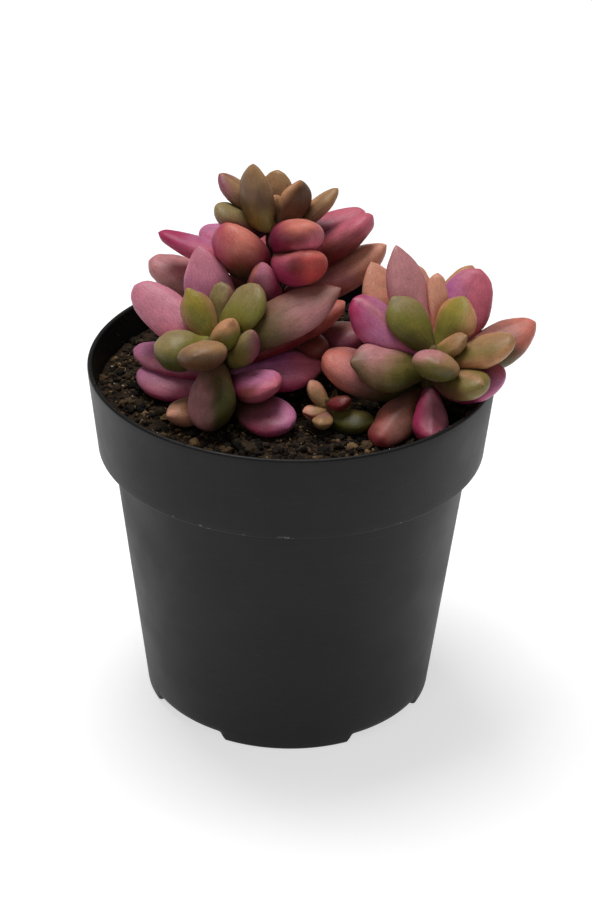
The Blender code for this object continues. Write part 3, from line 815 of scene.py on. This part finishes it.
def make_stem(shoot, material):
    """A stem with swollen joints and leaf scars."""
    root, along, length = stem_line(shoot)
    low, high = (r * MM for r in STEMS[shoot]["radii"])
    side = along.orthogonal().normalized()
    other = along.cross(side)
    bottom = -STEM_DEPTH
    points = [root + along * bottom]
    for i in range(STEM_ROWS):
        t = i / (STEM_ROWS - 1)
        distance = bottom + (length - bottom) * (0.01 + 0.98 * t)
        taper = low + (high - low) * max(distance, 0) / length
        ends = math.sqrt(1 - (2 * t - 1) ** 16)
        joint = 1 + 0.05 * math.sin(distance / MM * 2.1)
        for j in range(STEM_SIDES):
            angle = 2 * math.pi * j / STEM_SIDES
            ray = side * math.cos(angle) + other * math.sin(angle)
            bump = 1 + 0.08 * noise.noise((root + along * distance + ray * taper) / MM * 0.5)
            points.append(root + along * distance + ray * taper * ends * joint * bump)
    points.append(root + along * length)
    faces = loft_faces(STEM_ROWS, STEM_SIDES)
    new_piece(shoot + "_stem_skin", points, faces, material, [STEMS[shoot]["node"]])


# ---------------------------------------------------------------- soil

def pot_axis():
    return POT_X * MM


def inner_radius(z):
    """Inside radius of the collar at a height in metres."""
    share = (z / MM - POT_HEIGHT + COLLAR_HEIGHT) / COLLAR_HEIGHT
    return (COLLAR_FOOT_RADIUS + (RIM_RADIUS - COLLAR_FOOT_RADIUS) * share - WALL) * MM


def soil_height(x, y):
    """The soil's surface: gentle mounds, clods and crumbs."""
    place = Vector((x, y, 0)) / MM
    mounds = MOUNDS[0] * noise.noise(place * MOUNDS[1])
    clods = CLODS[0] * (0.5 - noise.voronoi(place * CLODS[1])[0][0])
    crumbs = CRUMBS[0] * (0.5 - noise.voronoi(place * CRUMBS[1])[0][0])
    return SOIL_LEVEL + (SOIL_LIFT + mounds + clods + crumbs) * MM


def make_soil(material):
    """The block of soil, with its crumbly top."""
    rows, sides = ((130, 400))
    edge = inner_radius(SOIL_LEVEL) - 0.1 * MM
    low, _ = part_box("soil")
    points = [Vector((pot_axis(), 0, low.z))]
    ledge = 73.6
    walls = [(BODY_FOOT_RADIUS - WALL - 1.2, low.z), (BODY_TOP_RADIUS - WALL - GAP, ledge * MM)]
    walls += [(COLLAR_FOOT_RADIUS - WALL - 0.9, (ledge + 0.1) * MM)]
    walls += [(COLLAR_FOOT_RADIUS - WALL - GAP, (ledge + 0.8) * MM)]
    outline = [(radius * MM, z) for radius, z in walls]
    for radius, z in outline:
        for j in range(sides):
            angle = 2 * math.pi * j / sides
            points.append(Vector((pot_axis() + radius * math.cos(angle), radius * math.sin(angle), z)))
    for i in range(rows):
        radius = edge * (1 - i / rows)
        for j in range(sides):
            angle = 2 * math.pi * j / sides
            x, y = radius * math.cos(angle), radius * math.sin(angle)
            points.append(Vector((pot_axis() + x, y, soil_height(x, y))))
    points.append(Vector((pot_axis(), 0, soil_height(0, 0))))
    new_piece("soil_bed", points, loft_faces(rows + len(outline), sides), material, ["soil"])


def gather(parts):
    """Joins small meshes of (points, faces, colour) into one list of points, faces and colours."""
    points, faces, colours = [], [], []
    for more_points, more_faces, colour in parts:
        start = len(points)
        points += more_points
        faces += [tuple(start + i for i in face) for face in more_faces]
        colours += [colour] * len(more_points)
    return points, faces, colours


def lump_template(level):
    bm = bmesh.new()
    bmesh.ops.create_icosphere(bm, subdivisions=level, radius=1.0)
    points = [v.co.copy() for v in bm.verts]
    faces = [tuple(v.index for v in f.verts) for f in bm.faces]
    bm.free()
    return points, faces


def lump(rng, template, centre, size, colour, roughness):
    """A rough crumb."""
    shift = Vector((rng.uniform(-50, 50), rng.uniform(-50, 50), rng.uniform(-50, 50)))
    stretch = Vector((rng.uniform(0.7, 1.3), rng.uniform(0.7, 1.3), rng.uniform(0.55, 1.0)))
    turn = Matrix.Rotation(rng.uniform(0, 6.28), 3, "Z") @ Matrix.Rotation(rng.uniform(-0.6, 0.6), 3, "X")
    points = []
    for p in template[0]:
        out = p * (1 + roughness * (noise.noise(p * 1.7 + shift) + 0.6 * noise.noise(p * 4.1 + shift)))
        stretched = Vector((out.x * stretch.x, out.y * stretch.y, out.z * stretch.z))
        points.append(centre + turn @ stretched * size)
    return points, template[1], colour


def fibre(rng, start, heading, length, radius, colour):
    """A thin bent root fibre: a three-sided tube that rises a little and then droops."""
    points, faces = [], []
    rise, droop = 0.2, 0.075
    count = FIBRE_RINGS
    place, direction = start.copy(), Vector((math.cos(heading), math.sin(heading), rise))
    for i in range(count):
        side = direction.cross(Vector((0, 0, 1))).normalized()
        over = side.cross(direction).normalized()
        thin = radius * (1.0 - 0.5 * i / count)
        for j in range(3):
            angle = 2 * math.pi * j / 3
            points.append(place + (side * math.cos(angle) + over * math.sin(angle)) * thin)
        place = place + direction.normalized() * (length / count)
        sway = (rng.uniform(-0.5, 0.5), rng.uniform(-0.5, 0.5), rng.uniform(-0.3, 0.15) - droop)
        direction = direction + Vector(sway)
    for i in range(count - 1):
        for j in range(3):
            k = (j + 1) % 3
            faces.append((i * 3 + j, i * 3 + k, i * 3 + 3 + k, i * 3 + 3 + j))
    faces += [(2, 1, 0), tuple(range(count * 3 - 3, count * 3))]
    return points, faces, colour


def random_spot(rng, edge, front):
    """A spot on the soil, rather nearer the front left than elsewhere."""
    while True:
        x, y = rng.uniform(-edge, edge), rng.uniform(-edge, edge)
        if x * x + y * y < edge * edge and rng.random() < 1 - front * (x + y + edge) / (2.5 * edge):
            return x, y


def rim_spot(rng):
    """A spot on the pot's lip or on the wall between the lip and the soil."""
    turn = rng.uniform(0, 2 * math.pi)
    z = POT_HEIGHT * MM if rng.random() < 0.25 else rng.uniform(SOIL_LEVEL, POT_HEIGHT * MM)
    radius = inner_radius(z) + (WALL / 2 * MM if z == POT_HEIGHT * MM else 0)
    return Vector((pot_axis() + radius * math.cos(turn), radius * math.sin(turn), z))


def loose_piece(name, parts, material):
    """One piece of many loose bits."""
    points, faces, colours = gather(parts)
    piece = new_piece(name, points, faces, material, [])
    paint(piece, colours)


def soil_spot(x, y, lift):
    """A place above the soil's surface."""
    return Vector((pot_axis() + x, y, soil_height(x, y) + lift))


def make_crumbs(material):
    """Crumbs of peat, bark fibres and a few white grains, loose on the soil."""
    rng = random.Random(11)
    edge = inner_radius(SOIL_LEVEL) - 1.0 * MM
    coarse, fine = lump_template(3), lump_template(1)
    parts = []
    for _ in range(CRUMB_COUNT):
        x, y = random_spot(rng, edge, 0.5)
        size = rng.uniform(0.25, 0.8) * MM if rng.random() < 0.88 else rng.uniform(0.8, 1.5) * MM
        colour = linear(rng.choices(BROWNS, BROWN_SHARES)[0])
        template = coarse if size > 0.8 * MM else fine
        parts.append(lump(rng, template, soil_spot(x, y, size * 0.25), size, colour, 0.6))
    for _ in range(RIM_CRUMB_COUNT):
        place = rim_spot(rng)
        size = rng.uniform(0.08, 0.28) * MM
        parts.append(lump(rng, fine, place, size, linear(rng.choice(BROWNS[1:])), 0.6))
    loose_piece("soil_crumbs", parts, material)
    parts = []
    for _ in range(FIBRE_COUNT):
        x, y = random_spot(rng, edge - 2 * MM, 0.6)
        colour = linear(rng.choice(FIBRE_BROWNS))
        heading = rng.uniform(0, 6.28)
        length = rng.uniform(1.5, 5.5) * MM
        radius = rng.uniform(0.05, 0.14) * MM
        parts.append(fibre(rng, soil_spot(x, y, 0.1 * MM), heading, length, radius, colour))
    loose_piece("soil_fibres", parts, material)
    parts = []
    for _ in range(GRAIN_COUNT):
        x, y = random_spot(rng, edge, 0.4)
        size = rng.uniform(0.10, 0.32) * MM
        place = soil_spot(x, y, 0.25 * MM + size * 0.5)
        parts.append(lump(rng, fine, place, size, linear(GRAIN_WHITE), 0.25))
    loose_piece("soil_grains", parts, material)


# ---------------------------------------------------------------- pot

def arc(centre, radius, start, end, count):
    """Points (radius, z) of an arc, by angles in degrees."""
    turns = [math.radians(start + (end - start) * i / (count - 1)) for i in range(count)]
    return [(centre[0] + radius * math.cos(t), centre[1] + radius * math.sin(t)) for t in turns]


def line(start, end, count):
    """Points between two others, without either end."""
    across, up = end[0] - start[0], end[1] - start[1]
    return [(start[0] + across * i / count, start[1] + up * i / count) for i in range(1, count)]


def body_radius(z):
    share = (z - FOOT_HEIGHT) / (POT_HEIGHT - COLLAR_HEIGHT - FOOT_HEIGHT)
    return BODY_FOOT_RADIUS + (BODY_TOP_RADIUS - BODY_FOOT_RADIUS) * share


def pot_profile():
    """The pot's section: from the axis underneath, up the outside, over the lip, down to the axis inside."""
    ledge = POT_HEIGHT - COLLAR_HEIGHT
    under = FOOT_HEIGHT + 0.2
    inside = FOOT_HEIGHT + FLOOR
    foot_out, foot_in = BODY_FOOT_RADIUS, BODY_FOOT_RADIUS - FOOT_DEPTH
    outside = [(0, under), (12, under), (foot_in - 1.2, under), (foot_in - 0.4, under), (foot_in, 0.3)]
    outside += [(foot_in + 0.3, 0.0), (foot_out - 1.6, 0.0)]
    outside += arc((foot_out - 1.3, 1.2), 1.2, -75, -5, 6)
    outside += line((foot_out - 0.1, 1.3), (body_radius(ledge), ledge - 0.1), 26)
    outside += [(body_radius(ledge - 0.6), ledge - 0.5), (body_radius(ledge) + 0.15, ledge - 0.1)]
    outside += [(BODY_TOP_RADIUS + 0.5, ledge), (COLLAR_FOOT_RADIUS - 1.6, ledge)]
    outside += arc((COLLAR_FOOT_RADIUS - 0.5, ledge + 0.5), 0.5, -90, -5, 6)
    lip = WALL / 2
    top = (RIM_RADIUS - lip - 0.02, POT_HEIGHT - lip)
    outside += line((COLLAR_FOOT_RADIUS, ledge + 0.6), (RIM_RADIUS, POT_HEIGHT - lip), 12)
    over = arc(top, lip, -5, 185, 14)
    inner = line((RIM_RADIUS - WALL, POT_HEIGHT - lip), (COLLAR_FOOT_RADIUS - WALL, ledge + 1.9), 8)
    inner += [(COLLAR_FOOT_RADIUS - WALL, ledge + 1.9), (COLLAR_FOOT_RADIUS - WALL - 0.7, ledge + WALL)]
    neck, heel = (BODY_TOP_RADIUS - WALL, ledge + WALL - 0.2), (body_radius(inside + 1) - WALL, inside + 1.0)
    inner += [neck] + line(neck, heel, 6)
    inner += [heel, (foot_out - WALL - 0.8, inside), (12, inside), (0, inside)]
    return outside + over + inner


def foot_cover(angle):
    """1 where a foot stands, 0 between the feet, for an angle in degrees from the front."""
    pitch = 360 / FOOT_COUNT
    off = abs((angle + pitch / 2) % pitch - pitch / 2)
    return 1 - float(step(FOOT_SPAN / 2, FOOT_SPAN / 2 + FOOT_SLOPE, np.array(off)))


def make_pot(material):
    """The pot: a turned shell, cut away between its feet and bored with drain holes."""
    profile = pot_profile()
    points = [Vector((pot_axis(), 0, profile[0][1] * MM))]
    for radius, z in profile[1:-1]:
        for j in range(POT_SIDES):
            angle = 360 * j / POT_SIDES
            turn = math.radians(angle)
            lifted = z
            if z < FOOT_HEIGHT and radius > 20:
                lifted = z + (FOOT_HEIGHT * 0.95 + z * 0.2 - z) * (1 - foot_cover(angle + 90))
            x, y = radius * MM * math.cos(turn), radius * MM * math.sin(turn)
            points.append(Vector((pot_axis() + x, y, lifted * MM)))
    points.append(Vector((pot_axis(), 0, profile[-1][1] * MM)))
    pot = new_piece("pot_shell", points, loft_faces(len(profile) - 2, POT_SIDES), material, ["pot"])
    for number in range(DRAIN_COUNT):
        angle = math.radians(-45 + number * 360 / DRAIN_COUNT)
        x, y = DRAIN_CIRCLE * math.cos(angle), DRAIN_CIRCLE * math.sin(angle)
        centre = Vector((pot_axis() / MM + x, y, FOOT_HEIGHT + FLOOR / 2))
        cut_hole(pot, centre * MM, DRAIN_RADIUS * MM, 6 * FLOOR * MM)
    pot.data.set_sharp_from_angle(angle=math.radians(50))


def cut_hole(target, centre, radius, depth):
    """Bores a round hole, up and down, through a piece."""
    bm = bmesh.new()
    bmesh.ops.create_cone(bm, cap_ends=True, segments=48, depth=depth, radius1=radius, radius2=radius)
    bmesh.ops.translate(bm, verts=bm.verts, vec=centre)
    mesh = bpy.data.meshes.new("hole")
    bm.to_mesh(mesh)
    bm.free()
    cutter = bpy.data.objects.new("hole", mesh)
    bpy.context.scene.collection.objects.link(cutter)
    modifier = target.modifiers.new("hole", "BOOLEAN")
    modifier.operation = "DIFFERENCE"
    modifier.object = cutter
    bpy.context.view_layer.update()
    cut = bpy.data.meshes.new_from_object(target.evaluated_get(bpy.context.evaluated_depsgraph_get()))
    target.modifiers.clear()
    target.data = cut
    bpy.data.objects.remove(cutter)


# ---------------------------------------------------------------- stage

def make_stage():
    """The paper that the pot stands on."""
    bm = bmesh.new()
    bmesh.ops.create_grid(bm, x_segments=8, y_segments=8, size=6.0)
    mesh = bpy.data.meshes.new("floor")
    bm.to_mesh(mesh)
    bm.free()
    floor = bpy.data.objects.new("floor", mesh)
    bpy.context.scene.collection.objects.link(floor)
    mesh.materials.append(floor_material())


def area_light(name, place, size, power):
    data = bpy.data.lights.new(name, "AREA")
    data.shape = "SQUARE"
    data.size = size
    data.energy = power
    lamp = bpy.data.objects.new(name, data)
    lamp.location = place
    lamp.rotation_mode = "QUATERNION"
    lamp.rotation_quaternion = (Vector(LIGHT_AIM) - Vector(place)).to_track_quat("-Z", "Y")
    bpy.context.scene.collection.objects.link(lamp)


def make_lights():
    area_light("overhead_softbox", *OVERHEAD)
    area_light("front_fill", *FRONT_FILL)
    world = bpy.data.worlds.new("studio")
    world.use_nodes = True
    background = world.node_tree.nodes["Background"]
    background.inputs["Color"].default_value = (1, 1, 1, 1)
    background.inputs["Strength"].default_value = WORLD_LIGHT
    bpy.context.scene.world = world


def make_camera():
    """Looks down on the pot from the front, rolled a little so that the object leans to the right."""
    data = bpy.data.cameras.new("camera")
    data.lens = CAMERA_LENS
    data.sensor_width = 36.0
    data.clip_start, data.clip_end = 0.01, 50.0
    camera = bpy.data.objects.new("camera", data)
    back = Vector((0, -math.cos(CAMERA_ELEVATION), math.sin(CAMERA_ELEVATION)))
    camera.location = Vector(CAMERA_TARGET) + back * CAMERA_DISTANCE
    camera.rotation_mode = "QUATERNION"
    rolled = Matrix.Rotation(CAMERA_ROLL, 3, "Z").to_quaternion()
    camera.rotation_quaternion = (-back).to_track_quat("-Z", "Y") @ rolled
    bpy.context.scene.collection.objects.link(camera)
    bpy.context.scene.camera = camera


def main():
    make_camera()
    make_stage()
    make_lights()
    bpy.context.scene.view_settings.view_transform = "Standard"
    materials = {slot: leaf_material(slot) for slot in
                 ("olive_leaf", "tan_leaf", "coral_leaf", "pink_leaf", "magenta_leaf", "violet_leaf")}
    make_leaves(materials)
    stem_skin = stem_material()
    for shoot in STEMS:
        make_stem(shoot, stem_skin)
    make_soil(soil_material())
    make_crumbs(crumb_material())
    make_pot(pot_material())


main()
